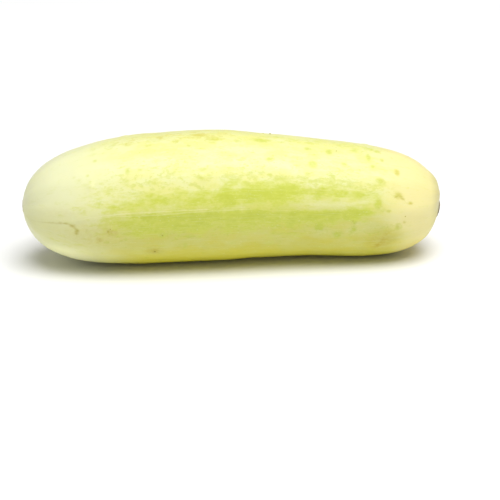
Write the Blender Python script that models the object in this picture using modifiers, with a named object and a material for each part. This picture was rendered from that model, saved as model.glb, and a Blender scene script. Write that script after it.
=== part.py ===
"""A pale, thick cucumber lying on its side, picked with no stalk left on it.

Metres, +Z up. The blossom end points along -X and the stem end along +X. The origin is on the
surface that the fruit rests on, under the middle of its length and width.
"""

import math
import random

import bmesh
import bpy
from mathutils import Matrix, Vector, noise

MM = 0.001

# Driving sizes of the fruit
LENGTH = 139.9 * MM
MIDDLE_RADIUS = 21.7 * MM
AXIS_HEIGHT = 22 * MM
SIDEWAYS_BOW = 2.5 * MM
FLAT_DEPTH = 0.35 * MM

# The radius along the fruit: a taper towards the stem, closed by a long dome at the blossom end
# and a blunt one at the stem end. Places along the fruit run from -1 to 1.
TAPER = (-0.307, 0.335, -0.197)
BLOSSOM_DOME = 1.36
STEM_DOME = 7.4

# How far the axis drops below its middle height, as a share of LENGTH / 2 for each power of the place
AXIS_DROP = (-0.023, -0.085, 0.003, 0.052)
STEM_TIP_RISE = 2 * MM
STEM_TIP_REACH = 0.038

# The section: three soft corners, and the slow unevenness of anything that grew
CORNER_HEIGHT = 0.008
CORNER_TURN = math.radians(90)
UNEVEN_HEIGHT = 0.22 * MM
UNEVEN_LENGTH = 17 * MM
UNEVEN_START = Vector((6.4, 1.9, 7.5))

# The skin is smooth close round each tip, and the stem end is drawn in, in five folds
SMOOTH_TIP_RADIUS = 4.2 * MM
FOLD_COUNT = 5
FOLD_TURN = math.radians(105)
FOLD_HEIGHT = 0.3 * MM
FOLD_REACH = 0.09

# The stalk left its scar a little below the tip, in a dimple
STEM_SCAR_PLACE = 0.991
STEM_SCAR_TURN = math.radians(-80)
DIMPLE_DEPTH = 0.6 * MM
DIMPLE_RADIUS = 3.8 * MM

# Corky scars, as (radius, height above the skin) from the centre of the face outwards
STEM_SCAR = [(0, 0.3), (0.8, 0.25), (1.3, 0.1), (2.0, 0.35), (2.7, 0.6), (3.2, 0.55), (3.5, 0.3), (3.7, -0.4)]
BLOSSOM_SCAR = [(0, 0.2), (0.5, 0.15), (0.8, 0.02), (1.6, 0.02), (2.2, 0.08), (2.6, 0), (2.8, -0.5)]
SCAR_FACES_FROM = 0.24
SCAR_SUNK = 1.6
SCAR_SIDES = 24

# Low warts in rows along the fruit, each where a spine has dropped off
WART_ROWS = 10
WARTS_IN_ROW = 3
WART_RADIUS = 1.6 * MM
WART_HEIGHT = 0.3 * MM
WART_SEED = 7

# Faces round the fruit and along it
SIDES = 48
RINGS = 52
WART_SIDES = 10
WART_RINGS = 8


def clear_scene():
    for obj in list(bpy.data.objects):
        bpy.data.objects.remove(obj, do_unlink=True)


def collection(name):
    made = bpy.data.collections.new(name)
    bpy.context.scene.collection.children.link(made)
    return made


def bump(distance, width):
    """1 at no distance, falling smoothly to 0 over about two widths."""
    return math.exp(-((distance / width) ** 2))


def radius_at(place):
    body = 1 + sum(share * place ** (power + 1) for power, share in enumerate(TAPER))
    dome = BLOSSOM_DOME if place < 0 else STEM_DOME
    closing = math.sqrt(max(0.0, 1 - abs(place) ** dome))
    return MIDDLE_RADIUS * body * closing


def axis_at(place):
    """The centre of the section at this place."""
    drop = sum(share * place ** (power + 1) for power, share in enumerate(AXIS_DROP))
    sideways = SIDEWAYS_BOW * (0.5 - place**2)
    tip_rise = STEM_TIP_RISE * bump(1 - place, STEM_TIP_REACH)
    return Vector((place * LENGTH / 2, sideways, AXIS_HEIGHT + drop * LENGTH / 2 + tip_rise))


def plain_skin_at(place, turn):
    """A point on the skin before the stem's dimple: the turn goes up from the -Y side."""
    outward = Vector((0, -math.cos(turn), math.sin(turn)))
    smooth_radius = radius_at(place)
    shrink = min(1.0, smooth_radius / SMOOTH_TIP_RADIUS)
    corners = CORNER_HEIGHT * math.cos(3 * (turn - CORNER_TURN))
    smooth = axis_at(place) + outward * smooth_radius
    uneven = UNEVEN_HEIGHT * noise.noise(smooth / UNEVEN_LENGTH + UNEVEN_START)
    folds = FOLD_HEIGHT * bump(1 - place, FOLD_REACH) * math.cos(FOLD_COUNT * (turn - FOLD_TURN))
    radius = smooth_radius * (1 + corners) + shrink * (uneven + folds)
    return axis_at(place) + outward * radius


def stem_scar_seat():
    """Where the stem scar's middle is before the dimple, and the way that the scar faces."""
    middle = plain_skin_at(STEM_SCAR_PLACE, STEM_SCAR_TURN)
    return middle, (middle - axis_at(1 - SCAR_FACES_FROM)).normalized()


def skin_at(place, turn):
    point = plain_skin_at(place, turn)
    middle, facing = stem_scar_seat()
    return point - facing * DIMPLE_DEPTH * bump((point - middle).length, DIMPLE_RADIUS)


def skin_normal(place, turn):
    step = 0.01
    along = skin_at(place + step, turn) - skin_at(place - step, turn)
    around = skin_at(place, turn + step) - skin_at(place, turn - step)
    return along.cross(around).normalized()


def add_object(name, bm, home):
    mesh = bpy.data.meshes.new(name)
    bm.to_mesh(mesh)
    bm.free()
    obj = bpy.data.objects.new(name, mesh)
    home.objects.link(obj)
    return obj


def make_body(home):
    """A sphere's vertices, with its poles at the two ends, each moved to its place on the skin."""
    bm = bmesh.new()
    poles_along_x = Matrix.Rotation(math.radians(90), 4, "Y")
    bmesh.ops.create_uvsphere(bm, u_segments=SIDES, v_segments=RINGS, radius=1, matrix=poles_along_x)
    for vertex in bm.verts:
        place = max(-1.0, min(1.0, vertex.co.x))
        vertex.co = skin_at(place, math.atan2(vertex.co.z, -vertex.co.y))
    bmesh.ops.recalc_face_normals(bm, faces=bm.faces)
    return add_object("cucumber", bm, home)


def make_wart(name, place, turn, home):
    """A ball sunk in the skin until only a low cap stands out."""
    bm = bmesh.new()
    bmesh.ops.create_uvsphere(bm, u_segments=WART_SIDES, v_segments=WART_RINGS, radius=WART_RADIUS)
    normal = skin_normal(place, turn)
    centre = skin_at(place, turn) - normal * (WART_RADIUS - WART_HEIGHT)
    facing = normal.to_track_quat("Z", "Y").to_matrix().to_4x4()
    bm.transform(Matrix.Translation(centre) @ facing)
    return add_object(name, bm, home)


def make_warts(home):
    draw = random.Random(WART_SEED)
    for row in range(WART_ROWS):
        for step in range(WARTS_IN_ROW):
            share = (step + 0.2 + 0.6 * draw.random()) / WARTS_IN_ROW
            place = -0.8 + 1.6 * share
            turn = math.radians(360 * row / WART_ROWS + draw.uniform(-8, 8))
            if skin_at(place, turn).z > 3 * WART_RADIUS:
                make_wart(f"wart_{row}_{step}", place, turn, home)


def make_scar(name, face, middle, facing, home):
    """A turned corky button, sunk in the end of the fruit."""
    outline = [(radius * MM, 0, height * MM) for radius, height in face]
    rim_radius = face[-1][0]
    outline += [(rim_radius * MM, 0, -SCAR_SUNK * MM), (0, 0, -SCAR_SUNK * MM)]
    mesh = bpy.data.meshes.new(name)
    mesh.from_pydata(outline, [(i, i + 1) for i in range(len(outline) - 1)], [])
    obj = bpy.data.objects.new(name, mesh)
    home.objects.link(obj)
    turned = obj.modifiers.new("turned", "SCREW")
    turned.steps = turned.render_steps = SCAR_SIDES
    turned.use_merge_vertices = True
    turned.merge_threshold = 0.01 * MM
    obj.location = middle
    obj.rotation_mode = "QUATERNION"
    obj.rotation_quaternion = facing.to_track_quat("Z", "Y")
    return obj


def make_scars(home):
    seat, facing = stem_scar_seat()
    make_scar("stem_scar", STEM_SCAR, seat - facing * DIMPLE_DEPTH, facing, home)
    blossom_facing = axis_at(-1) - axis_at(SCAR_FACES_FROM - 1)
    make_scar("blossom_scar", BLOSSOM_SCAR, skin_at(-1, 0), blossom_facing, home)


def make_floor_cutter(home):
    bm = bmesh.new()
    bmesh.ops.create_cube(bm, size=1)
    depth = 10 * MM
    size = Matrix.Diagonal((2 * LENGTH, LENGTH, depth, 1))
    bm.transform(Matrix.Translation((0, 0, -depth / 2)) @ size)
    cutter = add_object("floor_cutter", bm, home)
    cutter.hide_render = True
    cutter.display_type = "WIRE"
    return cutter


def apply_modifiers(obj):
    """Keeps the evaluated shape as the object's own mesh."""
    graph = bpy.context.evaluated_depsgraph_get()
    mesh = bpy.data.meshes.new_from_object(obj.evaluated_get(graph))
    obj.modifiers.clear()
    obj.data = mesh


def join(body, repeats):
    """Fuses the warts and scars with the body, then removes the loose ones."""
    union = body.modifiers.new("grown_together", "BOOLEAN")
    union.operation = "UNION"
    union.operand_type = "COLLECTION"
    union.collection = repeats
    apply_modifiers(body)
    for obj in list(repeats.objects):
        bpy.data.objects.remove(obj, do_unlink=True)


def settle(body):
    """Centres the fruit over the origin, with its lowest skin just under the surface it rests on."""
    points = [vertex.co for vertex in body.data.vertices]
    middle = [(min(p[k] for p in points) + max(p[k] for p in points)) / 2 for k in (0, 1)]
    lowest = min(p.z for p in points)
    body.data.transform(Matrix.Translation((-middle[0], -middle[1], -FLAT_DEPTH - lowest)))


def flatten_underside(body, cutter):
    """The soft skin is pressed flat where the fruit lies on it."""
    pressed = body.modifiers.new("pressed_flat", "BOOLEAN")
    pressed.operation = "DIFFERENCE"
    pressed.object = cutter


def skin_material():
    material = bpy.data.materials.new("pale_green_skin")
    material.use_nodes = True
    shader = material.node_tree.nodes["Principled BSDF"]
    shader.inputs["Base Color"].default_value = (0.72, 0.75, 0.30, 1)
    shader.inputs["Roughness"].default_value = 0.4
    return material


def build():
    clear_scene()
    fruit = collection("cucumber")
    repeats = collection("warts_and_scars")
    cutters = collection("cutters")
    body = make_body(fruit)
    make_warts(repeats)
    make_scars(repeats)
    join(body, repeats)
    settle(body)
    flatten_underside(body, make_floor_cutter(cutters))
    body.data.materials.clear()
    body.data.materials.append(skin_material())
    body.data.shade_smooth()
    body.data.set_sharp_from_angle(angle=math.radians(30))


build()
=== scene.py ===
"""The look of a pale cucumber: its fine skin, its two corky scars and the marks that spines left.

The skin is grown from the same rule as the solid that it stands for. A place on it is given by its
share of the way along the fruit, from -1 at the blossom end to 1 at the stem end, and by its turn
about the fruit's own axis, in degrees up from the -Y side. Marks use millimetres along instead.
"""

import math
import random

import bmesh
import bpy
import numpy as np
from mathutils import Matrix, Vector, noise
from mathutils.bvhtree import BVHTree


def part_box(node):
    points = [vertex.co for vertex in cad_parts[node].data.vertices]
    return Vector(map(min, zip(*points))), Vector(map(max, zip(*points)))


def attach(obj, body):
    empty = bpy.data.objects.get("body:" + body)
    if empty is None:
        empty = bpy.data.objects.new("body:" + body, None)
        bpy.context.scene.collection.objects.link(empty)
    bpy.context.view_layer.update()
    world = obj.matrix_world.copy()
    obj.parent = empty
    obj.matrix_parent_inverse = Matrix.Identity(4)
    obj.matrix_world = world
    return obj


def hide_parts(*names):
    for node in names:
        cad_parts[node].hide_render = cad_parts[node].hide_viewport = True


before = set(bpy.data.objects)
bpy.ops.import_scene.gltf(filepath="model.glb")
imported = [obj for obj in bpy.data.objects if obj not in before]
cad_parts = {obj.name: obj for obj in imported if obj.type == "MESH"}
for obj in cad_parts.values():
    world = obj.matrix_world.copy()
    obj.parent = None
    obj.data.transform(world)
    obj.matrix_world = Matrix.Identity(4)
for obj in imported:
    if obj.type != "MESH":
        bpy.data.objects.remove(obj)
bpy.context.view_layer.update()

MM = 0.001

# Driving sizes, from the frame's box of the fruit and the shape that the solid has
LOW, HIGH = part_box("cucumber")
BLOSSOM_SCAR_STANDS = 0.2 * MM
STEM_DIMPLE_TAKES = 0.05 * MM
LENGTH = HIGH.x - LOW.x - BLOSSOM_SCAR_STANDS + STEM_DIMPLE_TAKES
HALF = LENGTH / 2
MIDDLE_RADIUS = 0.1551 * LENGTH
SIDEWAYS_BOW = 2.5 * MM
FLAT_DEPTH = 0.35 * MM
PRESS_ROUNDING = 0.12 * MM
TAPER = (-0.307, 0.335, -0.197)
BLOSSOM_DOME = 1.36
STEM_DOME = 7.4
AXIS_DROP = (-0.023, -0.085, 0.003, 0.052)
AXIS_HEIGHT = 22 * MM
STEM_TIP_RISE = 2 * MM
STEM_TIP_REACH = 0.038

# The section: three soft corners, and slow unevenness
CORNER_HEIGHT = 0.008
CORNER_TURN = 90
UNEVEN_HEIGHT = 0.22 * MM
UNEVEN_LENGTH = 17 * MM
UNEVEN_START = Vector((6.4, 1.9, 7.5))

# The stem end, drawn in by five folds, with the stalk's scar in a dimple below the tip
SMOOTH_TIP_RADIUS = 4.2 * MM
FOLD_COUNT = 5
FOLD_TURN = 105
FOLD_HEIGHT = 0.3 * MM
FOLD_REACH = 0.09
STEM_SCAR_PLACE = 0.991
STEM_SCAR_TURN = -80
SCAR_FACES_FROM = 0.24
DIMPLE_DEPTH = 0.6 * MM
DIMPLE_RADIUS = 3.8 * MM

# The scars' radii in millimetres, and the millimetres over which the painted shade round the stem's
# scar fades. That dark ring of painted shade lies a little towards the -Y side.
STEM_SCAR_RADIUS = 3.7
BLOSSOM_SCAR_RADIUS = 2.3
RIM_SHADE_FADE = 1.1
RIM_SHADE_ASIDE = 1.1 * MM

# The face of a scar, in shares of its radius: where its rim and its ring of beads stand and how wide
# they are, how wide its boss and the pit in that are, and where its edge starts to turn down
RIM_AT, RIM_WIDTH = 0.8, 0.13
BEADS_AT, BEADS_WIDTH = 0.46, 0.09
BOSS_WIDTH = 0.2
PIT_WIDTH = 0.07
EDGE_FROM, EDGE_WIDTH = 0.88, 0.12

# Heights on that face: the ground between the raised parts as a share of the rim, the beads and the
# pit as shares of the boss, and in millimetres how far the edge drops
GROUND_HEIGHT = 0.25
BEADS_HEIGHT = 0.5
PIT_DEPTH = 0.8
EDGE_DROP = 0.5

# How far a scar's outline wavers, as a share of its radius: with its lobes, and at random
LOBE_WAVER = 0.03
LOOSE_WAVER = 0.08

# A scar's lumps, each as (height as a share of its rim and boss, lumps in a millimetre), and the
# depth of its cracks as a share of its rim
SCAR_LUMPS = [(0.2, 1.6), (0.1, 5)]
CRACK_DEPTH = 0.3

# A scar's faces round it and across it, and in millimetres how far its back is sunk in the fruit and
# from how far outside the skin under it is looked for
SCAR_SPOKES = 120
SCAR_RINGS = 44
SCAR_SUNK = 1.4
SCAR_SEEN_FROM = 5

# The innermost ring's radius as a share of one ring, and what stands for the back of a scar where its
# face has shares from 0 to 1
INNERMOST = 0.02
BEHIND = 1.2

# Fine relief that only the eye and a fingertip find. The ribs stand higher near the ends: from which
# share of the way there, and within how much. Widths of the seam and the scratch are in millimetres.
RIB_COUNT = 10
RIB_TURN = 9
RIB_STRAY = 0.6
RIB_HEIGHT = 0.07 * MM
END_RIB_HEIGHT = 0.08 * MM
END_RIBS_RISE = (0.6, 0.35)
DENT_HEIGHT = 0.1 * MM
DENT_LENGTH = 8 * MM
DENT_START = Vector((1.7, 5.2, 0.3))
GRAIN_HEIGHT = 0.025 * MM
GRAIN_LENGTH = 2.2 * MM
GRAIN_START = Vector((9.1, 2.2, 4.0))
PUCKER_COUNT = 23
PUCKER_HEIGHT = 0.05 * MM
PUCKER_REACH = 0.1
SEAM_HEIGHT = 0.06 * MM
SEAM_WIDTH = 1.2
SCRATCH_DEPTH = 0.04 * MM
SCRATCH_WIDTH = 0.7
INSET = 0.15 * MM

# Faces round the skin and along it
SIDES = 240
RINGS = 400


def bump(distance, width):
    """1 at no distance, falling smoothly to 0 over about two widths."""
    return np.exp(-((distance / width) ** 2))


def soft_step(value):
    """0 below 0, 1 above 1, and a smooth rise between."""
    held = np.clip(value, 0, 1)
    return held * held * (3 - 2 * held)


def rise(value, start, within):
    """0 up to the start, and a smooth rise from there to 1 within the given distance."""
    return soft_step((value - start) / within)


def stretch_mask(along, start, end, soft):
    """1 between two places, in millimetres along, falling to 0 within soft outside them."""
    return soft_step((along - start) / soft + 1) * soft_step((end - along) / soft + 1)


def turn_apart(turn, other):
    """Degrees between two turns, the short way round."""
    return np.abs((turn - other + 180) % 360 - 180)


def noise_at(points, length, start):
    """Smooth noise from -1 to 1 at each of an array of points."""
    return np.array([noise.noise(Vector(point) / length + start) for point in points])


def radius_at(place):
    """The radius of the section at each place, before its corners and unevenness."""
    body = 1 + sum(share * place ** (power + 1) for power, share in enumerate(TAPER))
    dome = np.where(place < 0, BLOSSOM_DOME, STEM_DOME)
    return MIDDLE_RADIUS * body * np.sqrt(np.maximum(0, 1 - np.abs(place) ** dome))


def axis_at(place):
    """The centre of the section at each place, as rows of x, y, z."""
    drop = sum(share * place ** (power + 1) for power, share in enumerate(AXIS_DROP))
    tip_rise = STEM_TIP_RISE * bump(1 - place, STEM_TIP_REACH)
    sideways = SIDEWAYS_BOW * (0.5 - place**2)
    return np.stack([place * HALF, sideways, AXIS_HEIGHT + drop * HALF + tip_rise], axis=-1)


def outward_at(turn):
    """The way out from the fruit's axis at each turn, as rows of x, y, z."""
    angle = np.radians(turn)
    return np.stack([np.zeros_like(angle), -np.cos(angle), np.sin(angle)], axis=-1)


def plain_skin_at(place, turn):
    """Points of the skin as the solid has it, before the stem's dimple."""
    smooth_radius = radius_at(place)
    outward = outward_at(turn)
    smooth = axis_at(place) + outward * smooth_radius[:, None]
    shrink = np.minimum(1, smooth_radius / SMOOTH_TIP_RADIUS)
    uneven = UNEVEN_HEIGHT * noise_at(smooth, UNEVEN_LENGTH, UNEVEN_START)
    drawn_in = np.cos(np.radians(FOLD_COUNT * (turn - FOLD_TURN)))
    folds = FOLD_HEIGHT * bump(1 - place, FOLD_REACH) * drawn_in
    corners = CORNER_HEIGHT * np.cos(np.radians(3 * (turn - CORNER_TURN)))
    radius = smooth_radius * (1 + corners) + shrink * (uneven + folds)
    return axis_at(place) + outward * radius[:, None]


def stem_scar_seat():
    """Where the stem scar's middle is before the dimple, and the way that the scar faces."""
    place, turn = np.array([STEM_SCAR_PLACE]), np.array([float(STEM_SCAR_TURN)])
    middle = plain_skin_at(place, turn)[0]
    facing = middle - axis_at(np.array([1 - SCAR_FACES_FROM]))[0]
    return middle, facing / np.linalg.norm(facing)


STEM_SCAR_MIDDLE, STEM_SCAR_FACING = stem_scar_seat()


def skin_at(place, turn):
    """Points of the skin as the solid has it, dimple and all."""
    points = plain_skin_at(place, turn)
    apart = np.linalg.norm(points - STEM_SCAR_MIDDLE, axis=1)
    dimple = DIMPLE_DEPTH * bump(apart, DIMPLE_RADIUS)
    return points - STEM_SCAR_FACING * dimple[:, None]


def point_at(place, turn):
    """One point of the skin."""
    return Vector(skin_at(np.array([float(place)]), np.array([float(turn)]))[0])


def normal_at(place, turn):
    """The way out from the skin, across a small step along it and one round it."""
    place_step, turn_step = 0.01, 0.5
    along = point_at(place + place_step, turn) - point_at(place - place_step, turn)
    around = point_at(place, turn + turn_step) - point_at(place, turn - turn_step)
    return around.cross(along).normalized()


# Where the marks are, as (millimetres along, turn in degrees, ...)

# Green bands: (turn of the middle, degrees that it fades over above and below, strength, start, end,
# millimetres that it fades over beyond them, bend up at the stem end). A band that fades fast above
# has the crisp edge under the pale seam.
GREEN_BANDS = [
    (14, 16, 14, 0.16, -30, 40, 24, 0),
    (16, 10, 8, 0.58, -32, 4, 30, 0),
    (24, 9, 8, 0.62, 6, 40, 26, 0),
    (3, 4, 16, 0.98, -29, 34, 26, 6),
    (-14, 8, 10, 0.2, -30, 40, 20, 0),
    (-22, 10, 10, 0.22, -62, -54, 8, 0),
    (86, 14, 12, 0.16, -34, 44, 20, 0),
    (118, 10, 8, 0.4, -34, 40, 20, 0),
    (148, 5, 16, 0.66, -28, 30, 26, -5),
    (161, 9, 8, 0.45, -28, 18, 26, 0),
    (178, 12, 12, 0.4, -20, 40, 20, 0),
    (206, 12, 10, 0.35, -26, 40, 20, 0),
]

# A band that fades within this many degrees keeps its edge straight
CRISP_EDGE = 5

# Millimetres along where the bands begin to bend, and where the stem end begins to be bare of green,
# each with the millimetres that this takes
BANDS_BEND = (22, 26)
STEM_END_BARE = (42, 10)

# How the edges of bands and rows stray: (degrees, over how many millimetres along, waves round the
# fruit, where the noise starts)
STRAYS = [(4, 16, 2.2, Vector((3.1, 0.4, 8.2))), (4, 5, 6, Vector((0.7, 5.4, 2.9)))]

# Rows where green flecks crowd: (turn, half width, strength)
FLECK_ROWS = [
    (34, 10, 0.9), (46, 9, 0.65), (60, 9, 0.25), (86, 9, 0.95), (104, 10, 0.6), (128, 10, 0.8),
    (192, 10, 0.8), (222, 10, 0.7), (-14, 10, 0.6),
]

# Start, end and fade of the flecks along the fruit, and of the tawny ones along its top
FLECKS_ALONG = (-42, 52, 14)
TAWNY_ALONG = (-34, -4, 8)
TAWNY_TURN, TAWNY_HALF_WIDTH = 88, 12
TAWNY_STRENGTH = 0.8

# Green spots: (along, turn, half length, half width, strength), lengths in millimetres
GREEN_SPOTS = [
    # over the broad pale top
    (-46, 81, 1.3, 1.5, 0.35), (-39, 78, 0.7, 0.7, 0.4), (-34.5, 78, 1.5, 1.2, 0.6),
    (-45.5, 63, 0.8, 0.8, 0.5), (-24, 83, 1.2, 1.1, 0.7), (-19, 75, 1.1, 0.9, 0.8),
    (-12.5, 94, 1.5, 0.9, 0.6), (-11, 85, 2.3, 0.8, 0.7), (-15, 69, 0.9, 0.8, 0.6),
    (-6, 77, 2.5, 0.7, 0.9), (-7, 72, 1.4, 0.6, 0.5), (1.5, 75, 1.6, 0.6, 0.5), (9.5, 79, 2.4, 1.1, 1.0),
    (15, 90, 1.1, 1.0, 0.6), (11.5, 55, 1.1, 0.8, 1.0), (24.5, 72, 1.2, 0.8, 0.8),
    (31.5, 70, 1.1, 1.2, 0.9), (28, 87, 1.6, 0.8, 0.5), (35.5, 83, 1.2, 0.8, 0.5),
    (40, 76, 1.3, 1.1, 0.6), (46, 83, 0.9, 1.0, 1.0), (48, 80, 1.1, 0.9, 0.9), (49, 67, 0.6, 0.8, 0.8),
    (44.5, 68, 0.7, 1.8, 0.9), (45.5, 56, 0.8, 0.6, 0.9), (25.5, 52, 1.1, 1.2, 1.0),
    (36, 55, 0.9, 0.9, 0.8), (53.5, 53, 0.9, 1.4, 1.0),
    # along the upper edge of the green
    (-51, 43, 1.0, 1.1, 0.35), (-47, 40, 0.8, 0.5, 0.5), (-35, 46, 0.9, 1.1, 0.7),
    (-36, 37, 1.2, 1.2, 0.6), (-31, 46, 1.0, 0.5, 0.6), (-28.5, 34, 1.0, 0.7, 0.6),
    (-21, 40, 1.3, 0.5, 0.6), (-9, 38, 0.7, 0.5, 0.7), (-11.5, 35, 1.3, 0.7, 0.6), (5, 40, 0.8, 0.5, 0.8),
    (8, 40, 0.8, 0.5, 0.8), (11, 39, 0.8, 0.5, 0.8), (14.5, 35, 2.2, 0.9, 0.7), (23.5, 41, 0.8, 0.6, 0.5),
    (31.5, 40, 1.0, 2.0, 0.7), (47.5, 40, 1.4, 1.1, 0.95), (31.5, 27, 0.8, 0.6, 0.7),
    (41, 32, 0.6, 0.8, 0.6), (40, 24, 2.0, 1.0, 0.9), (-44.5, 18, 1.2, 0.9, 0.5),
    # at the stem end of the green, and below it
    (46.5, 16, 1.3, 1.9, 1.0), (48, 10, 1.0, 0.7, 0.7), (50, 9, 0.8, 0.5, 0.9), (57.5, 18, 0.8, 0.6, 0.8),
    (55.5, -4, 0.6, 0.6, 0.6), (53.2, -9, 0.8, 1.4, 0.6), (53.4, 26, 1.2, 1.3, 0.8),
    (38.5, -4, 0.8, 0.8, 0.8), (38.5, -11, 0.9, 1.4, 0.8), (27, -10, 1.5, 1.4, 1.0),
    (33, -18, 1.5, 1.4, 0.8), (44, -18, 0.6, 0.6, 0.7), (12, -15, 0.8, 1.8, 0.35),
    (-17, -27, 0.8, 1.4, 0.5), (45, -47, 1.2, 1.5, 0.4), (53, -26, 0.8, 0.6, 0.3),
    (-24.5, -14, 1.0, 0.8, 0.7), (10.7, -29, 1.2, 0.9, 0.35),
    # faint ones on the pale shoulder of the blossom end
    (-52.5, 48, 0.6, 0.5, 0.5), (-48, 47, 0.6, 0.5, 0.5), (-25, 48, 0.6, 0.4, 0.5),
    (-18.7, 49, 0.7, 0.4, 0.6), (-16.5, 50, 0.7, 0.5, 0.6), (3, 48, 0.6, 0.4, 0.5),
    (52.5, 73, 0.6, 0.5, 0.5),
]

# How far a spot's edge spreads, as a share of its size squared
SPOT_SPREAD = 1.4

# The far side has spots too: how many are drawn, and between which places along, which turns, which
# half lengths and half widths and which strengths
FAR_SPOTS = 70
FAR_SPOTS_SEED = 11
FAR_ALONG = (-46, 54)
FAR_TURNS = (100, 300)
FAR_HALF_LENGTHS = (0.6, 1.7)
FAR_HALF_WIDTHS = (0.5, 1.3)
FAR_STRENGTHS = (0.4, 0.9)

# Tan patches where the skin was rubbed: (along, turn, half length, half width, strength)
TAN_PATCHES = [
    (-41, -10, 1.8, 1.2, 0.85), (-45, -17, 1.4, 1.5, 0.7), (-46, -12, 9, 5, 0.3),
    (-27, -32.5, 1.9, 1.3, 0.8), (49.8, -17, 1.6, 1.6, 0.5), (47, -33, 1.5, 1.6, 0.95),
    (48.4, -27, 3.6, 3.8, 0.75), (-56, 12, 7, 2.2, 0.16), (-52.1, -9, 0.8, 1.1, 0.8),
    (-53.4, -3, 1.2, 0.9, 0.6), (-30, 200, 2.2, 1.0, 0.7), (36, 160, 1.2, 1.0, 0.6),
]

# Paler patches in the green: (along, turn, half length, half width, strength)
PALE_PATCHES = [
    (40, -9, 6, 3, 0.75), (29, -15, 7, 2.4, 0.6), (48, 2, 5, 3, 0.5), (-12, 30, 7, 1.6, 0.5),
    (31, 14, 8, 1.6, 0.25), (-22, -20, 8, 2.2, 0.35), (6, -20, 6, 2, 0.35), (-48, -14, 7, 3, 0.3),
    (20, 165, 8, 2.5, 0.5),
]

# Tiny dark dots: (along, turn, radius)
DARK_DOTS = [
    (13, 100, 0.36), (34, 72, 0.2), (-42, -8, 0.28), (-24.5, -14, 0.2), (-27, -33, 0.3), (55.7, 3, 0.2),
    (20, 140, 0.3), (-33, 160, 0.3), (41, 178, 0.26), (-8, 205, 0.3),
]

# Where a spine left a faint green ring: (along, turn)
RINGS_LEFT = [(-24.5, -14), (10.7, -29), (25.5, 52), (53.4, -9), (-10, 160), (30, 204), (44, 142)]

# Thin marks, each a name, a half width in millimetres and its chains of (along, turn): the pale seam
# and its second line, pale streaks, a healed scratch that hooks over, a curl and a rubbed streak
THIN_MARKS = {
    "seam": (0.3, [
        [(-60, -1), (-55, 2), (-48, 6), (-38, 8), (-28, 8), (-10, 8)],
        [(-50, 152), (-20, 151), (10, 153), (38, 150)],
    ]),
    "second_seam": (0.26, [[(-50, 4), (-41, 6), (-25, 5), (-17, 6), (4, 7)]]),
    "pale_streak": (1.0, [[(24, 13), (30, 13), (38, 15), (44, 19)], [(26, 146), (34, 144), (42, 146)]]),
    "scratch": (0.9, [
        [(-66, -8), (-62, -3), (-58.4, -1), (-55, -0.5), (-53, -3.5), (-51.9, -8.5), (-52.2, -12)],
        [(-20, 214), (-12, 218), (-6, 216)],
    ]),
    "curl": (0.9, [[(52.6, 24.5), (53.4, 27), (54.3, 25), (55.1, 22)]]),
    "rub": (1.2, [[(46.5, -36), (47.5, -30), (48.4, -24)]]),
}

# Millimetres that stand for no mark near, millimetres that a thin mark reaches beyond its ends, and
# where the scratch comes in
FAR_FROM_MARKS = 9.0
MARK_REACH = 1.5
SCRATCH_COMES_IN = (-69, 14)

# Where the ground of the skin changes, as (where a change starts, what it takes to be complete): in
# millimetres along, and in how far a point lies up or down, as a share of the middle radius
BLOSSOM_END_ALONG = (-62, 36)
# Painted light on the blossom end's underside
BLOSSOM_FOOT_LIGHT_ALONG = (-58, 12)
BLOSSOM_FOOT_LIGHT_DOWN = (0.37, 0.2)
STEM_END_ALONG = (44, 14)
# Painted yellow reflected light on the stem end's underside
STEM_FOOT_LIGHT_DOWN = (0.25, 0.35)
# Painted shade at the stem end's tip, where it turns from the light
STEM_TIP_SHADE_ALONG = (65, 4)
# The belly: darker and yellower below, a yellow ground spot with painted shade over it
BELLY_AND_SHADE_UP = (-0.35, 0.9)
# Lowest on the fruit: painted yellow reflected light, as if from fruit below, over the yellow ground spot
DEEP_BELLY_AND_BOUNCE_UP = (-0.95, 0.5)

# The stem end's colour starts later by these millimetres on the underside
STEM_FOOT_LATER = 6

# The blossom end is less pale about this turn, within these degrees
BLOSSOM_DULL_TURN, BLOSSOM_DULL_WIDTH = -15, 28

# Low warts: rows round the fruit, warts in each, how far each row reaches towards the two ends, how
# many degrees a wart strays from its row, the least height of one, and the shape of each
WART_SEED = 7
WART_ROWS = 10
WARTS_IN_ROW = 3
WARTS_REACH = 0.8
WART_STRAY = 8
LOWEST_WART = 4.8 * MM
WART_WIDTH = 1.1 * MM
WART_HEIGHT = 0.3 * MM
WART_PIT = 0.12 * MM
WART_PIT_WIDTH = 0.45 * MM

# The dot on each wart, in millimetres, and how flat all the dots are
WART_DOT_RADIUS = 0.3
WART_DOT_LIFT = 0.14
DOT_FLATNESS = 0.4

# Millimetres round the fruit for each radian of turn, as the marks are laid out
AROUND = MIDDLE_RADIUS / MM


def warts():
    """(place, turn) of the low warts, in rows along the fruit, drawn as they are for the solid."""
    draw = random.Random(WART_SEED)
    found = []
    for row in range(WART_ROWS):
        for step in range(WARTS_IN_ROW):
            share = (step + 0.2 + 0.6 * draw.random()) / WARTS_IN_ROW
            place = -WARTS_REACH + 2 * WARTS_REACH * share
            turn = 360 * row / WART_ROWS + draw.uniform(-WART_STRAY, WART_STRAY)
            if point_at(place, turn).z > LOWEST_WART:
                found.append((place, turn))
    return found


WARTS = warts()


def spots_mask(along, turn, spots):
    """The strongest of many soft oval spots at each point of the skin."""
    mask = np.zeros_like(along)
    for spot_along, spot_turn, half_length, half_width, strength in spots:
        across = np.radians(turn_apart(turn, spot_turn)) * AROUND
        apart = ((along - spot_along) / half_length) ** 2 + (across / half_width) ** 2
        mask = np.maximum(mask, strength * np.exp(-apart / SPOT_SPREAD))
    return mask


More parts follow.
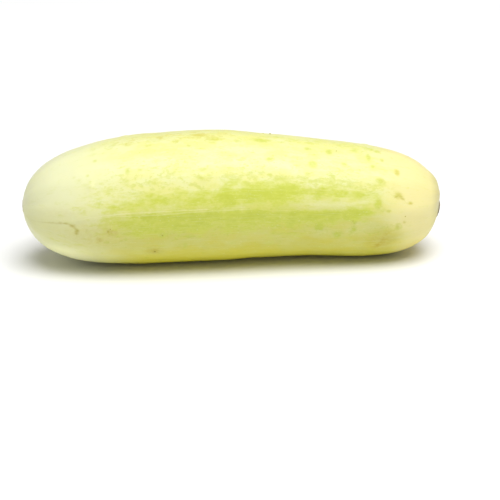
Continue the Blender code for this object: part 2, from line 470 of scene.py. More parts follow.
def far_spots():
    """Spots for the far side, drawn in the order that a spot's values have."""
    draw = random.Random(FAR_SPOTS_SEED)
    ranges = (FAR_ALONG, FAR_TURNS, FAR_HALF_LENGTHS, FAR_HALF_WIDTHS, FAR_STRENGTHS)
    return [tuple(draw.uniform(*limits) for limits in ranges) for _ in range(FAR_SPOTS)]


def thin_mark_offset(along, turn, chains):
    """Millimetres across the skin from the middle of a thin mark, negative on its right."""
    offset = np.full_like(along, FAR_FROM_MARKS)
    for chain in chains:
        first_turn = chain[0][1]
        across = np.radians((turn - first_turn + 180) % 360 - 180) * AROUND
        for (x0, turn0), (x1, turn1) in zip(chain, chain[1:]):
            y0, y1 = (math.radians(t - first_turn) * AROUND for t in (turn0, turn1))
            dx, dy = x1 - x0, y1 - y0
            share = np.clip(((along - x0) * dx + (across - y0) * dy) / (dx * dx + dy * dy), 0, 1)
            apart = np.hypot(along - x0 - share * dx, across - y0 - share * dy)
            side = np.where(dx * (across - y0) > dy * (along - x0), 1, -1)
            offset = np.where(apart < np.abs(offset), side * apart, offset)
    return offset


def wander(along, turn):
    """Degrees by which the edges of bands and rows stray, so that none runs dead straight."""
    angle = np.radians(turn)
    stray = np.zeros_like(along)
    for degrees, length, waves, start in STRAYS:
        where = np.stack([along / length, waves * np.cos(angle), waves * np.sin(angle)], axis=-1)
        stray += degrees * noise_at(where, 1.0, start)
    return stray


def green_mask(along, turn):
    """How green each point of the skin is, before its material makes that uneven."""
    mask = np.zeros_like(along)
    strayed = turn + wander(along, turn)
    for middle, above, below, strength, start, end, soft, bend in GREEN_BANDS:
        across = turn - middle - bend * rise(along, *BANDS_BEND)
        across = (across + 180) % 360 - 180
        width = np.where(across > 0, above, below)
        if min(above, below) > CRISP_EDGE:
            across = across + strayed - turn
        mask += strength * bump(across, width) * stretch_mask(along, start, end, soft)
    return mask * (1 - rise(along, *STEM_END_BARE))


def ring_apart(along, turn):
    """Millimetres to the middle of the nearest ring that a spine left."""
    nearest = np.full_like(along, FAR_FROM_MARKS)
    for ring_along, ring_turn in RINGS_LEFT:
        across = np.radians(turn_apart(turn, ring_turn)) * AROUND
        nearest = np.minimum(nearest, np.hypot(along - ring_along, across))
    return nearest


def skin_masks(along, turn, plain):
    """What the skin's material reads at each point: where each of its colours lies."""
    strayed = turn + wander(along, turn)
    up = np.sin(np.radians(turn)) * radius_at(along * MM / HALF) / MIDDLE_RADIUS
    flecks = np.zeros_like(along)
    for middle, half_width, strength in FLECK_ROWS:
        flecks = np.maximum(flecks, strength * bump(turn_apart(strayed, middle), half_width))
    # Distance to the stem's scar, measured from a point a little towards -Y, for the painted shade round
    # it
    from_scar = np.linalg.norm(plain - STEM_SCAR_MIDDLE + (0, RIM_SHADE_ASIDE, 0), axis=1) / MM
    dull = 0.5 * bump(turn - BLOSSOM_DULL_TURN, BLOSSOM_DULL_WIDTH)
    stem_end = rise(along - STEM_FOOT_LATER * soft_step(-3 * up), *STEM_END_ALONG)
    tawny = TAWNY_STRENGTH * bump(turn_apart(turn, TAWNY_TURN), TAWNY_HALF_WIDTH)
    masks = {
        "green": green_mask(along, turn),
        "flecks": flecks * stretch_mask(along, *FLECKS_ALONG),
        "spots": spots_mask(along, turn, GREEN_SPOTS + far_spots()),
        "tan": spots_mask(along, turn, TAN_PATCHES),
        "tawny": tawny * stretch_mask(along, *TAWNY_ALONG),
        "pale": spots_mask(along, turn, PALE_PATCHES),
        "ring_apart": ring_apart(along, turn),
        # Painted shade over a yellow ground spot on the underside
        "belly_and_shade": 1 - rise(up, *BELLY_AND_SHADE_UP),
        # Painted yellow reflected light, lowest on the fruit
        "deep_belly_and_bounce": 1 - rise(up, *DEEP_BELLY_AND_BOUNCE_UP),
        "blossom_end": (1 - rise(along, *BLOSSOM_END_ALONG)) * (1 - dull),
        # Painted light on the blossom end's underside
        "blossom_foot_light": (1 - rise(along, *BLOSSOM_FOOT_LIGHT_ALONG)) * rise(-up, *BLOSSOM_FOOT_LIGHT_DOWN),
        "stem_end": stem_end,
        # Painted yellow reflected light on the stem end's underside
        "stem_foot_light": stem_end * rise(-up, *STEM_FOOT_LIGHT_DOWN),
        # Painted shade at the stem end's tip
        "stem_tip_shade": rise(along, *STEM_TIP_SHADE_ALONG),
        # Painted shade round the stem's scar
        "stem_rim_shade": bump(np.maximum(0, from_scar - STEM_SCAR_RADIUS), RIM_SHADE_FADE),
    }
    for name, (_, chains) in THIN_MARKS.items():
        offset = thin_mark_offset(along, turn, chains)
        masks[name + "_offset"] = offset
        masks[name + "_reach"] = bump(offset, MARK_REACH)
    masks["scratch_reach"] *= rise(along, *SCRATCH_COMES_IN)
    return masks


def fine_relief(place, turn, plain):
    """Height of the fine relief over the plain skin, in metres."""
    along = place * HALF / MM
    shrink = np.minimum(1, radius_at(place) / (2 * SMOOTH_TIP_RADIUS))
    strayed = turn + RIB_STRAY * wander(along, turn)
    rib_height = RIB_HEIGHT + END_RIB_HEIGHT * rise(np.abs(place), *END_RIBS_RISE)
    ribs = rib_height * np.cos(np.radians(RIB_COUNT * (strayed - RIB_TURN)))
    near_end = bump(1 - np.abs(place), PUCKER_REACH)
    puckers = PUCKER_HEIGHT * near_end * np.cos(np.radians(PUCKER_COUNT * turn))
    dents = DENT_HEIGHT * noise_at(plain, DENT_LENGTH, DENT_START)
    grain = GRAIN_HEIGHT * noise_at(plain, GRAIN_LENGTH, GRAIN_START)
    seam = SEAM_HEIGHT * bump(thin_mark_offset(along, turn, THIN_MARKS["seam"][1]), SEAM_WIDTH)
    from_scratch = thin_mark_offset(along, turn, THIN_MARKS["scratch"][1])
    scratch = SCRATCH_DEPTH * bump(from_scratch, SCRATCH_WIDTH)
    height = shrink * (ribs + puckers + dents + grain + seam - scratch)
    for wart_place, wart_turn in WARTS:
        apart = np.linalg.norm(plain - np.array(point_at(wart_place, wart_turn)), axis=1)
        height += WART_HEIGHT * bump(apart, WART_WIDTH) - WART_PIT * bump(apart, WART_PIT_WIDTH)
    return height - INSET


def settle(finished, plain):
    """The move that lays the skin where the solid lies."""
    middle_y = (finished[:, 1].min() + finished[:, 1].max()) / 2
    return np.array([
        LOW.x + BLOSSOM_SCAR_STANDS + HALF,
        (LOW.y + HIGH.y) / 2 - middle_y,
        LOW.z - FLAT_DEPTH - plain[:, 2].min(),
    ])


def press_flat(points):
    """The soft skin is pressed flat on the surface that the fruit rests on."""
    above = points[:, 2] - LOW.z
    pressed = 0.5 * (above + np.sqrt(above**2 + PRESS_ROUNDING**2))
    points[:, 2] = LOW.z + pressed - pressed.min()


def new_object(name, bm, material):
    """A smooth-shaded object in the scene, from a finished bmesh."""
    mesh = bpy.data.meshes.new(name)
    bm.to_mesh(mesh)
    bm.free()
    mesh.shade_smooth()
    mesh.materials.append(material)
    obj = bpy.data.objects.new(name, mesh)
    bpy.context.scene.collection.objects.link(obj)
    return obj


def write_mask(mesh, name, values):
    """Keeps one number for each vertex, for the material to read."""
    attribute = mesh.attributes.new(name, "FLOAT", "POINT")
    attribute.data.foreach_set("value", np.asarray(values, np.float32))


def write_points(mesh, name, points):
    """Keeps one x, y, z for each vertex, for the material to read."""
    attribute = mesh.attributes.new(name, "FLOAT_VECTOR", "POINT")
    attribute.data.foreach_set("vector", np.asarray(points, np.float32).ravel())


def make_skin(material):
    """A sphere's vertices, with its poles at the two ends, each moved to its place on the skin.

    The material lays its patterns on a straight, round fruit of this size, which is kept as "grown".
    """
    bm = bmesh.new()
    poles_along_x = Matrix.Rotation(math.radians(90), 4, "Y")
    bmesh.ops.create_uvsphere(bm, u_segments=SIDES, v_segments=RINGS, radius=1, matrix=poles_along_x)
    sphere = np.array([vertex.co for vertex in bm.verts])
    place = np.clip(sphere[:, 0], -1, 1)
    turn = np.degrees(np.arctan2(sphere[:, 2], -sphere[:, 1]))
    plain = skin_at(place, turn)
    points = plain + outward_at(turn) * fine_relief(place, turn, plain)[:, None]
    move = settle(points, plain)
    points += move
    press_flat(points)
    for vertex, point in zip(bm.verts, points):
        vertex.co = point
    bmesh.ops.recalc_face_normals(bm, faces=bm.faces)
    skin = new_object("skin", bm, material)
    along = place * HALF / MM
    for name, values in skin_masks(along, turn, plain).items():
        write_mask(skin.data, name, values)
    straight = np.stack([along, np.zeros_like(along), np.zeros_like(along)], axis=-1)
    straight += outward_at(turn) * MIDDLE_RADIUS / MM
    write_points(skin.data, "grown", straight)
    return skin, Vector(move)


def scar_height(share, angle, rim, boss, lobes):
    """Height over the skin, in millimetres, from a scar's middle (share 0) to its edge (share 1)."""
    raised_rim = rim * bump(share - RIM_AT, RIM_WIDTH)
    beaded = 0.6 + 0.4 * math.cos(2 * lobes * angle)
    beads = BEADS_HEIGHT * boss * bump(share - BEADS_AT, BEADS_WIDTH) * beaded
    middle = boss * bump(share, BOSS_WIDTH)
    pit = PIT_DEPTH * boss * bump(share, PIT_WIDTH)
    turned_down = EDGE_DROP * max(0.0, (share - EDGE_FROM) / EDGE_WIDTH) ** 2
    return GROUND_HEIGHT * rim + raised_rim + beads + middle - pit - turned_down


def make_scar(name, material, skin_tree, middle, facing, radius, rim, boss, lobes, seed, high=0.0):
    """A corky button grown on the skin: it follows the skin under it, and is closed behind inside it.

    Its sizes are in millimetres. Its rim stands higher on the -Y side, by the share that high gives.
    """
    turned = facing.to_track_quat("Z", "Y").to_matrix()
    high_side = turned.transposed() @ Vector((0, -1, 0))
    bm = bmesh.new()
    loops = []
    from_middle = []
    spread = []
    for ring in range(SCAR_RINGS + 2):
        behind = ring > SCAR_RINGS
        share = min(1, (ring + INNERMOST) / SCAR_RINGS)
        loop = []
        for spoke in range(SCAR_SPOKES):
            angle = 2 * math.pi * spoke / SCAR_SPOKES
            c, s = math.cos(angle), math.sin(angle)
            waver = LOBE_WAVER * math.cos(lobes * angle)
            waver += LOOSE_WAVER * noise.noise((1.5 * c, 1.5 * s, seed))
            rim_here = rim * (1 + high * max(0.0, c * high_side.x + s * high_side.y))
            across = radius * share * (1 + waver)
            x, y = across * c, across * s
            lumps = sum(part * noise.noise((many * x, many * y, seed)) for part, many in SCAR_LUMPS)
            cracks = CRACK_DEPTH * abs(noise.noise((3 * c, 3 * s, 0.6 * across + seed)))
            height = scar_height(share, angle, rim_here, boss, lobes)
            height += (rim + boss) * lumps * (1.2 - share) - rim * cracks
            start = middle + turned @ Vector((x, y, SCAR_SEEN_FROM)) * MM
            skin = skin_tree.ray_cast(start, -facing)[0]
            if behind:
                height = -SCAR_SUNK
            loop.append(bm.verts.new(skin + facing * height * MM))
            from_middle.append(BEHIND if behind else share)
            spread.append((c, s, 0.3 * across))
        loops.append(loop)
    for inner, outer in zip(loops, loops[1:]):
        for k in range(SCAR_SPOKES):
            after = (k + 1) % SCAR_SPOKES
            bm.faces.new((inner[k], outer[k], outer[after], inner[after]))
    bm.faces.new(loops[0])
    bm.faces.new(list(reversed(loops[-1])))
    bmesh.ops.recalc_face_normals(bm, faces=bm.faces)
    scar = new_object(name, bm, material)
    write_mask(scar.data, "from_middle", from_middle)
    write_points(scar.data, "spread", spread)
    return scar


def make_stem_scar(material, skin_tree, move):
    facing = Vector(STEM_SCAR_FACING)
    middle = Vector(STEM_SCAR_MIDDLE) + move
    return make_scar("stem_scar", material, skin_tree, middle, facing, STEM_SCAR_RADIUS,
                     rim=0.24, boss=0.24, lobes=5, seed=2.3, high=1.0)


def make_blossom_scar(material, skin_tree, move):
    ends = axis_at(np.array([-1, SCAR_FACES_FROM - 1]))
    facing = Vector(ends[0] - ends[1]).normalized()
    middle = point_at(-1, 0) + move
    return make_scar("blossom_scar", material, skin_tree, middle, facing, BLOSSOM_SCAR_RADIUS,
                     rim=0.1, boss=0.12, lobes=3, seed=7.9)


def make_spine_marks(material, move):
    """Tiny corky dots, each sunk to its middle in the skin: one on every wart, and the dark dots."""
    dots = [(place, turn, WART_DOT_RADIUS, WART_DOT_LIFT) for place, turn in WARTS]
    dots += [(along * MM / HALF, turn, radius, 0.0) for along, turn, radius in DARK_DOTS]
    flattened = Matrix.Diagonal((1, 1, DOT_FLATNESS, 1))
    bm = bmesh.new()
    for place, turn, radius, lift in dots:
        normal = normal_at(place, turn)
        facing = normal.to_track_quat("Z", "Y").to_matrix().to_4x4()
        centre = point_at(place, turn) + move + normal * (lift * MM)
        where = Matrix.Translation(centre) @ facing @ flattened
        bmesh.ops.create_icosphere(bm, subdivisions=2, radius=radius * MM, matrix=where)
    return new_object("spine_marks", bm, material)


def srgb(red, green, blue):
    """A colour as the eye reads it, from 0 to 255, as the shader wants it."""
    shares = [value / 255 for value in (red, green, blue)]
    return tuple(s / 12.92 if s <= 0.04045 else ((s + 0.055) / 1.055) ** 2.4 for s in shares) + (1,)


class Painter:
    """Adds nodes to one material or node group, and joins them up."""

    def __init__(self, tree, mottles=None):
        self.tree = tree
        self.mottles = mottles

    def add(self, kind, inputs=None, **settings):
        node = self.tree.nodes.new(kind)
        for name, value in settings.items():
            setattr(node, name, value)
        for name, value in (inputs or {}).items():
            if isinstance(value, bpy.types.NodeSocket):
                self.tree.links.new(value, node.inputs[name])
            else:
                node.inputs[name].default_value = value
        return node

    def calculate(self, operation, first, second=0.0):
        return self.add("ShaderNodeMath", {0: first, 1: second}, operation=operation).outputs[0]

    def times(self, first, second):
        return self.calculate("MULTIPLY", first, second)

    def plus(self, first, second):
        return self.calculate("ADD", first, second)

    def greater(self, first, second):
        return self.calculate("MAXIMUM", first, second)

    def between(self, value, low, high, start=0.0, end=1.0):
        """Takes a value from low to high smoothly to start to end, and no further."""
        inputs = {"Value": value, "From Min": low, "From Max": high, "To Min": start, "To Max": end}
        return self.add("ShaderNodeMapRange", inputs, interpolation_type="SMOOTHSTEP").outputs["Result"]

    def over(self, under, colour, share):
        """One colour laid over another, covering the given share of it."""
        return self.add("ShaderNodeMix", {0: share, 6: under, 7: colour}, data_type="RGBA").outputs[2]

    def taken_to(self, mask, low, high):
        """A mask's 0 to 1 taken to low to high."""
        return self.between(mask, 0, 1, low, high)

    def mask(self, name):
        """What the mesh keeps under this name."""
        return self.add("ShaderNodeAttribute", attribute_name=name).outputs["Fac"]

    def stretched(self, where, stretch):
        """A place with each of its three parts multiplied by its own number."""
        return self.add("ShaderNodeVectorMath", {0: where, 1: stretch}, operation="MULTIPLY").outputs[0]

    def noise(self, where, detail=3.0):
        inputs = {"Vector": where, "Scale": 1.0, "Detail": detail, "Roughness": 0.6}
        return self.add("ShaderNodeTexNoise", inputs).outputs["Fac"]

    def patches(self, where, stretch, low, high, detail=3.0):
        """A mask of uneven patches. The stretch is how many of them fit in a millimetre, each way."""
        inputs = {"Vector": where, "Stretch": stretch, "Detail": detail, "Low": low, "High": high}
        return self.add("ShaderNodeGroup", inputs, node_tree=self.mottles).outputs["Mask"]


def mottle_group():
    """Uneven patches: noise of one size, pulled out along one way, cut between two levels."""
    group = bpy.data.node_groups.new("mottle", "ShaderNodeTree")
    for name in ("Vector", "Stretch"):
        group.interface.new_socket(name, in_out="INPUT", socket_type="NodeSocketVector")
    for name in ("Detail", "Low", "High"):
        group.interface.new_socket(name, in_out="INPUT", socket_type="NodeSocketFloat")
    group.interface.new_socket("Mask", in_out="OUTPUT", socket_type="NodeSocketFloat")
    paint = Painter(group)
    given = paint.add("NodeGroupInput").outputs
    noise_level = paint.noise(paint.stretched(given["Vector"], given["Stretch"]), given["Detail"])
    paint.add("NodeGroupOutput", {"Mask": paint.between(noise_level, given["Low"], given["High"])})
    return group


def start_material(name, mottles=None):
    """A new material, what paints it, and its surface shader."""
    material = bpy.data.materials.new(name)
    material.use_nodes = True
    tree = material.node_tree
    return material, Painter(tree, mottles), tree.nodes["Principled BSDF"]


# Colours of the skin, as the eye reads them
CREAM = srgb(229, 229, 164)
YELLOW_CREAM = srgb(228, 226, 136)
# Below: a yellow ground spot, darkened with painted shade
BELLY_AND_SHADE = srgb(206, 204, 104)
YELLOW_BELLY_AND_SHADE = srgb(207, 201, 82)
# Painted yellow reflected light from below, over the yellow ground spot
DEEP_BELLY_AND_BOUNCE = srgb(224, 216, 50)
BLOSSOM_CREAM = srgb(231, 232, 187)
# Painted light on the blossom end's underside
BLOSSOM_FOOT_LIGHT = srgb(250, 250, 192)
STEM_CREAM = srgb(238, 227, 160)
# Painted yellow reflected light on the stem end's underside
STEM_FOOT_LIGHT = srgb(234, 219, 118)
# Painted shade at the stem end's tip
STEM_TIP_SHADE = srgb(212, 202, 139)
# Painted shade round the stem's scar
STEM_RIM_SHADE = srgb(136, 128, 88)
GREEN = srgb(208, 214, 92)
DEEP_GREEN = srgb(194, 202, 72)
FLECK_GREEN = srgb(205, 211, 92)
LOW_FLECK_GREEN = srgb(194, 203, 74)
STEM_FLECK_OLIVE = srgb(206, 196, 84)
TAWNY_FLECK = srgb(212, 198, 92)
SEAM_CREAM = srgb(234, 233, 176)
SCRATCH_OLIVE = srgb(180, 170, 50)
CURL_OLIVE = srgb(190, 182, 66)
TAN = srgb(190, 172, 58)

# Colours of the dry marks: each cork where it is raised, in its dips and in its cracks, and the spine
# marks' two
STEM_CORK = (srgb(172, 158, 116), srgb(128, 113, 80), srgb(74, 62, 44))
BLOSSOM_CORK = (srgb(208, 198, 136), srgb(184, 172, 110), srgb(146, 130, 76))
SPINE_OLIVE = srgb(166, 154, 56)
SPINE_TAN = srgb(196, 187, 78)

# How uneven the green is: (patches in a millimetre along, and round; their share of the unevenness)
GREEN_MOTTLES = [(0.07, 0.45, 0.2), (0.2, 0.34, 0.4), (0.4, 1.0, 0.25), (1.0, 1.5, 0.15)]


def ground_colour(paint, grown, middle):
    """Cream above, and darker and yellower below: a yellow ground spot with painted shade, and lowest a
    painted yellow reflected light. Whiter at the two ends, with painted light on their undersides,
    painted shade at the stem's tip and round its scar, and soft clouds in it.
    """
    clouds = paint.patches(grown, (0.05, 0.11, 0.11), 0.35, 0.65)
    curds = paint.patches(grown, (0.14, 0.26, 0.26), 0.34, 0.66)
    top = paint.over(CREAM, YELLOW_CREAM, paint.times(curds, 0.8))
    # A yellow ground spot below, darkened with painted shade
    belly_and_shade = paint.over(BELLY_AND_SHADE, YELLOW_BELLY_AND_SHADE, curds)
    belly_and_shade_share = paint.times(paint.mask("belly_and_shade"), paint.taken_to(clouds, 0.85, 1))
    colour = paint.over(top, belly_and_shade, paint.times(belly_and_shade_share, middle))
    colour = paint.over(colour, CREAM, paint.times(paint.mask("pale"), 0.4))
    # Painted yellow reflected light, lowest on the fruit
    colour = paint.over(colour, DEEP_BELLY_AND_BOUNCE, paint.times(paint.mask("deep_belly_and_bounce"), middle))
    # The blossom end is whiter, and its underside is paler still with painted light
    for name, pale in (("blossom_end", BLOSSOM_CREAM), ("blossom_foot_light", BLOSSOM_FOOT_LIGHT)):
        colour = paint.over(colour, pale, paint.mask(name))
    colour = paint.over(colour, STEM_CREAM, paint.times(paint.mask("stem_end"), 0.9))
    # Painted yellow reflected light on the stem end's underside, then painted shade at its tip
    for name, tint in (("stem_foot_light", STEM_FOOT_LIGHT), ("stem_tip_shade", STEM_TIP_SHADE)):
        colour = paint.over(colour, tint, paint.mask(name))
    # Painted shade round the stem's scar, lying a little towards the -Y side
    return paint.over(colour, STEM_RIM_SHADE, paint.times(paint.mask("stem_rim_shade"), 0.8))


def lay_green(paint, grown, colour):
    """Broad green, that breaks up into blotches, streaks and specks where it fades."""
    uneven = -0.5
    for along, around, share in GREEN_MOTTLES:
        patches = paint.patches(grown, (along, around, around), 0.32, 0.68)
        uneven = paint.plus(uneven, paint.times(patches, share))
    level = paint.plus(paint.mask("green"), paint.times(uneven, 0.95))
    level = paint.plus(level, paint.times(paint.mask("pale"), -0.55))
    colour = paint.over(colour, GREEN, paint.between(level, 0.05, 0.95, 0, 0.97))
    return paint.over(colour, DEEP_GREEN, paint.between(level, 0.6, 1.3, 0, 0.75))


def lay_flecks(paint, grown, colour, middle):
    """Flecks crowd where their mask is strong, and a stray one lies outside it."""
    # Flecks on the underside are darker green, with the painted shade there
    fleck = paint.over(FLECK_GREEN, LOW_FLECK_GREEN, paint.mask("belly_and_shade"))
    fleck = paint.over(fleck, STEM_FLECK_OLIVE, paint.mask("stem_end"))
    fleck = paint.over(fleck, TAWNY_FLECK, paint.mask("tawny"))
    clusters = paint.patches(grown, (0.1, 0.2, 0.2), 0.35, 0.62)
    crowd = paint.times(paint.mask("flecks"), paint.taken_to(clusters, 0.4, 1))
    crowd = paint.times(crowd, 0.17)
    specks = paint.noise(paint.stretched(grown, (0.6, 0.9, 0.9)), 3.0)
    dashes = paint.noise(paint.stretched(grown, (0.26, 0.6, 0.6)), 3.0)
    specks = paint.between(paint.plus(specks, crowd), 0.6, 0.78, 0, 0.5)
    dashes = paint.between(paint.plus(dashes, crowd), 0.62, 0.8, 0, 0.55)
    colour = paint.over(colour, fleck, paint.times(paint.greater(specks, dashes), middle))
    crumbs = paint.patches(grown, (0.8, 1.0, 1.0), 0.3, 0.64)
    spots = paint.times(paint.mask("spots"), paint.taken_to(crumbs, 0.55, 1))
    return paint.over(colour, fleck, paint.between(spots, 0.0, 0.8, 0, 0.92))


def lay_pale_specks(paint, grown, colour):
    """The skin's finest grain: pale specks, and hairlines along the fruit."""
    specks = paint.patches(grown, (1.1, 1.6, 1.6), 0.6, 0.7)
    hairlines = paint.patches(grown, (0.1, 2.6, 2.6), 0.5, 0.75)
    colour = paint.over(colour, BLOSSOM_CREAM, paint.times(specks, 0.2))
    return paint.over(colour, BLOSSOM_CREAM, paint.times(hairlines, 0.16))


def thin_mark(paint, grown, name, core=0.4):
    """How far a thin mark covers the skin: its edges waver, and it fades beyond its ends."""
    half_width = THIN_MARKS[name][0]
    wavering = paint.times(paint.patches(grown, (0.5, 0.9, 0.9), 0.3, 0.7), 0.6 * half_width)
    offset = paint.calculate("ABSOLUTE", paint.mask(name + "_offset"))
    across = paint.between(paint.plus(offset, wavering), core * half_width, 1.3 * half_width, 1, 0)
    return paint.times(across, paint.mask(name + "_reach"))


def lay_marks(paint, grown, colour):
    """Seams, scratches, rubbed patches and the rings round warts, and how rough they are."""
    crumbs = paint.patches(grown, (0.7, 0.9, 0.9), 0.3, 0.7)
    for name, strength in (("seam", 0.45), ("second_seam", 0.35), ("pale_streak", 0.3)):
        colour = paint.over(colour, SEAM_CREAM, paint.times(thin_mark(paint, grown, name), strength))
    apart = paint.mask("ring_apart")
    ring = paint.times(paint.between(apart, 0.3, 1.1), paint.between(apart, 1.1, 2.0, 1, 0))
    colour = paint.over(colour, FLECK_GREEN, paint.times(ring, paint.taken_to(crumbs, 0.15, 0.5)))
    rubbed = paint.times(paint.mask("tan"), paint.taken_to(crumbs, 0.5, 1))
    colour = paint.over(colour, TAN, paint.times(rubbed, 0.8))
    rub = paint.times(thin_mark(paint, grown, "rub", 0), paint.taken_to(crumbs, 0.2, 0.6))
    colour = paint.over(colour, TAN, rub)
    curl = thin_mark(paint, grown, "curl", 0)
    colour = paint.over(colour, CURL_OLIVE, paint.times(curl, paint.taken_to(crumbs, 0.45, 0.85)))
    scratch = thin_mark(paint, grown, "scratch", 0)
    colour = paint.over(colour, SCRATCH_OLIVE, paint.times(scratch, paint.taken_to(crumbs, 0.35, 0.7)))
    return colour, paint.greater(paint.greater(scratch, curl), rubbed)


def skin_material(mottles):
    """Waxy skin: its ground, its green, its flecks and its marks, laid one over another."""
    material, paint, shader = start_material("pale_green_skin", mottles)
    grown = paint.add("ShaderNodeAttribute", attribute_name="grown").outputs["Vector"]
    ends = paint.greater(paint.mask("blossom_end"), paint.mask("stem_end"))
    middle = paint.taken_to(ends, 1, 0)
    colour = ground_colour(paint, grown, middle)
    colour = lay_green(paint, grown, colour)
    colour = lay_flecks(paint, grown, colour, middle)
    colour = lay_pale_specks(paint, grown, colour)
    colour, worn = lay_marks(paint, grown, colour)

    pores = paint.add("ShaderNodeTexVoronoi", {"Vector": grown, "Scale": 1.9}).outputs["Distance"]
    fine = paint.patches(grown, (1.6, 2.4, 2.4), 0.2, 0.8)
    height = paint.plus(paint.times(pores, 0.35), fine)
    relief = paint.add("ShaderNodeBump", {"Strength": 0.12, "Distance": 0.06 * MM, "Height": height})
    smears = paint.patches(grown, (0.05, 0.11, 0.11), 0.35, 0.65)
    gloss = paint.plus(paint.taken_to(smears, 0.36, 0.44), paint.times(worn, 0.25))
    paint.tree.links.new(colour, shader.inputs["Base Color"])
    paint.tree.links.new(gloss, shader.inputs["Roughness"])
    paint.tree.links.new(relief.outputs[0], shader.inputs["Normal"])
    shader.inputs["IOR"].default_value = 1.42
    shader.inputs["Specular IOR Level"].default_value = 0.42
    shader.inputs["Subsurface Weight"].default_value = 0.2
    shader.inputs["Subsurface Radius"].default_value = (1.0, 0.85, 0.3)
    shader.inputs["Subsurface Scale"].default_value = 2.2 * MM
    return material


def in_millimetres(paint):
    """The place on the object, in millimetres."""
    place = paint.add("ShaderNodeTexCoord").outputs["Object"]
    return paint.add("ShaderNodeVectorMath", {0: place, "Scale": 1 / MM}, operation="SCALE").outputs[0]


def cork_material(mottles, name, raised_colour, dip_colour, crack_colour):
    """Dry scar tissue: a pale rim and boss, a darker dip between them, and fibres spread like spokes."""
    material, paint, shader = start_material(name, mottles)
    where = in_millimetres(paint)
    spread = paint.add("ShaderNodeAttribute", attribute_name="spread").outputs["Vector"]
    lumps = paint.patches(where, (1.2, 1.2, 1.2), 0.35, 0.65)
    grains = paint.patches(where, (3.2, 3.2, 3.2), 0.48, 0.68, 5.0)
    fibres = paint.patches(spread, (5.5, 5.5, 1.5), 0.44, 0.62)
    from_middle = paint.mask("from_middle")
    rim = paint.between(from_middle, 0.55, 0.8)
    boss = paint.between(from_middle, 0.12, 0.34, 1, 0)
    raised = paint.times(paint.greater(rim, boss), paint.taken_to(lumps, 1, 0.45))
    colour = paint.over(dip_colour, raised_colour, raised)
    cracks = paint.greater(paint.times(grains, 0.7), paint.times(fibres, 0.5))
    colour = paint.over(colour, crack_colour, cracks)
    inputs = {"Strength": 0.6, "Distance": 0.12 * MM, "Height": cracks}
    relief = paint.add("ShaderNodeBump", inputs, invert=True)
    paint.tree.links.new(colour, shader.inputs["Base Color"])
    paint.tree.links.new(paint.taken_to(lumps, 0.75, 0.95), shader.inputs["Roughness"])
    paint.tree.links.new(relief.outputs[0], shader.inputs["Normal"])
    shader.inputs["Specular IOR Level"].default_value = 0.25
    return material


def dot_material(mottles):
    """Spine marks: small dry olive-brown dots."""
    material, paint, shader = start_material("spine_mark", mottles)
    patchy = paint.patches(in_millimetres(paint), (0.6, 0.6, 0.6), 0.4, 0.6)
    colour = paint.over(SPINE_OLIVE, SPINE_TAN, patchy)
    paint.tree.links.new(colour, shader.inputs["Base Color"])
    paint.tree.links.new(paint.taken_to(patchy, 0.6, 0.8), shader.inputs["Roughness"])
    return material


# The studio, in metres and watts: a wide floor, one softbox overhead and a white room
FLOOR_REACH = 4
FLOOR_GREY = 0.87
SOFTBOX_SIZE = 1.8
SOFTBOX_POWER = 63
SOFTBOX_PLACE = Vector((0.3, -0.5, 2.15))
ROOM_BRIGHTNESS = 0.27


def make_floor():
    """A plain white surface, wide enough to fill the view."""
    bm = bmesh.new()
    bmesh.ops.create_grid(bm, x_segments=1, y_segments=1, size=FLOOR_REACH)
    material, _, shader = start_material("plain_floor")
    shader.inputs["Base Color"].default_value = (FLOOR_GREY, FLOOR_GREY, FLOOR_GREY, 1)
    shader.inputs["Roughness"].default_value = 0.9
    shader.inputs["Specular IOR Level"].default_value = 0.1
    floor = new_object("floor", bm, material)
    floor.location.z = LOW.z


def hang_softbox():
    """A broad square lamp, hung overhead and turned to face the fruit."""
    lamp = bpy.data.lights.new("overhead_softbox", "AREA")
    lamp.shape = "SQUARE"
    lamp.size = SOFTBOX_SIZE
    lamp.energy = SOFTBOX_POWER
    softbox = bpy.data.objects.new("overhead_softbox", lamp)
    softbox.location = SOFTBOX_PLACE
    softbox.rotation_mode = "QUATERNION"
    softbox.rotation_quaternion = (-SOFTBOX_PLACE).to_track_quat("-Z", "Y")
    bpy.context.scene.collection.objects.link(softbox)


def light_the_studio():
    """Soft light from above, and a white room for what that doesn't reach."""
    hang_softbox()
    world = bpy.data.worlds.new("white_room")
    world.use_nodes = True
    world.node_tree.nodes["Background"].inputs["Color"].default_value = (1, 1, 1, 1)
    world.node_tree.nodes["Background"].inputs["Strength"].default_value = ROOM_BRIGHTNESS
    bpy.context.scene.world = world
    bpy.context.scene.view_settings.view_transform = "Standard"


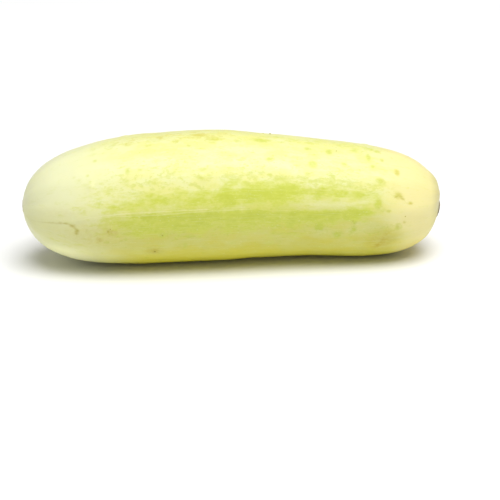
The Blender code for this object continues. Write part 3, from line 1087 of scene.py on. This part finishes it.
# The photograph's view: how far round and above the camera stands, and where the fruit lies in the
# frame, in pixels of its 500 by 500
VIEW_AZIMUTH = -4.3
VIEW_ELEVATION = 20
VIEW_DISTANCE = 0.6
SENSOR_WIDTH = 36
FRAME_PIXELS = 500
FRUIT_PIXELS = 416.9
FRUIT_COLUMN = 230.9
FRUIT_ROW = 193.8


def set_camera():
    """Puts the fruit where the photograph has it, at the photograph's viewing angle."""
    data = bpy.data.cameras.new("camera")
    data.sensor_width = SENSOR_WIDTH
    pixels_per_radian = FRUIT_PIXELS * VIEW_DISTANCE / (HIGH.x - LOW.x)
    data.lens = SENSOR_WIDTH * pixels_per_radian / FRAME_PIXELS
    camera = bpy.data.objects.new("camera", data)
    azimuth, elevation = math.radians(VIEW_AZIMUTH), math.radians(VIEW_ELEVATION)
    level = math.cos(elevation)
    back = Vector((math.sin(azimuth) * level, -math.cos(azimuth) * level, math.sin(elevation)))
    fruit = Vector(((LOW.x + HIGH.x) / 2, (LOW.y + HIGH.y) / 2, (LOW.z + HIGH.z) / 2))
    camera.location = fruit + VIEW_DISTANCE * back
    lower = math.atan((FRAME_PIXELS / 2 - FRUIT_ROW) / pixels_per_radian)
    aside = math.atan((FRAME_PIXELS / 2 - FRUIT_COLUMN) / pixels_per_radian)
    camera.rotation_euler = (math.radians(90) - elevation - lower, 0, azimuth - aside)
    bpy.context.scene.collection.objects.link(camera)
    bpy.context.scene.camera = camera


def build():
    set_camera()
    light_the_studio()
    make_floor()
    mottles = mottle_group()
    stem_cork = cork_material(mottles, "stem_cork", *STEM_CORK)
    blossom_cork = cork_material(mottles, "blossom_cork", *BLOSSOM_CORK)
    skin, move = make_skin(skin_material(mottles))
    skin_tree = BVHTree.FromPolygons([v.co for v in skin.data.vertices],
                                     [face.vertices for face in skin.data.polygons])
    stem_scar = make_stem_scar(stem_cork, skin_tree, move)
    blossom_scar = make_blossom_scar(blossom_cork, skin_tree, move)
    spine_marks = make_spine_marks(dot_material(mottles), move)
    for piece in (skin, stem_scar, blossom_scar, spine_marks):
        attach(piece, "root")
        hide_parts("cucumber")


build()
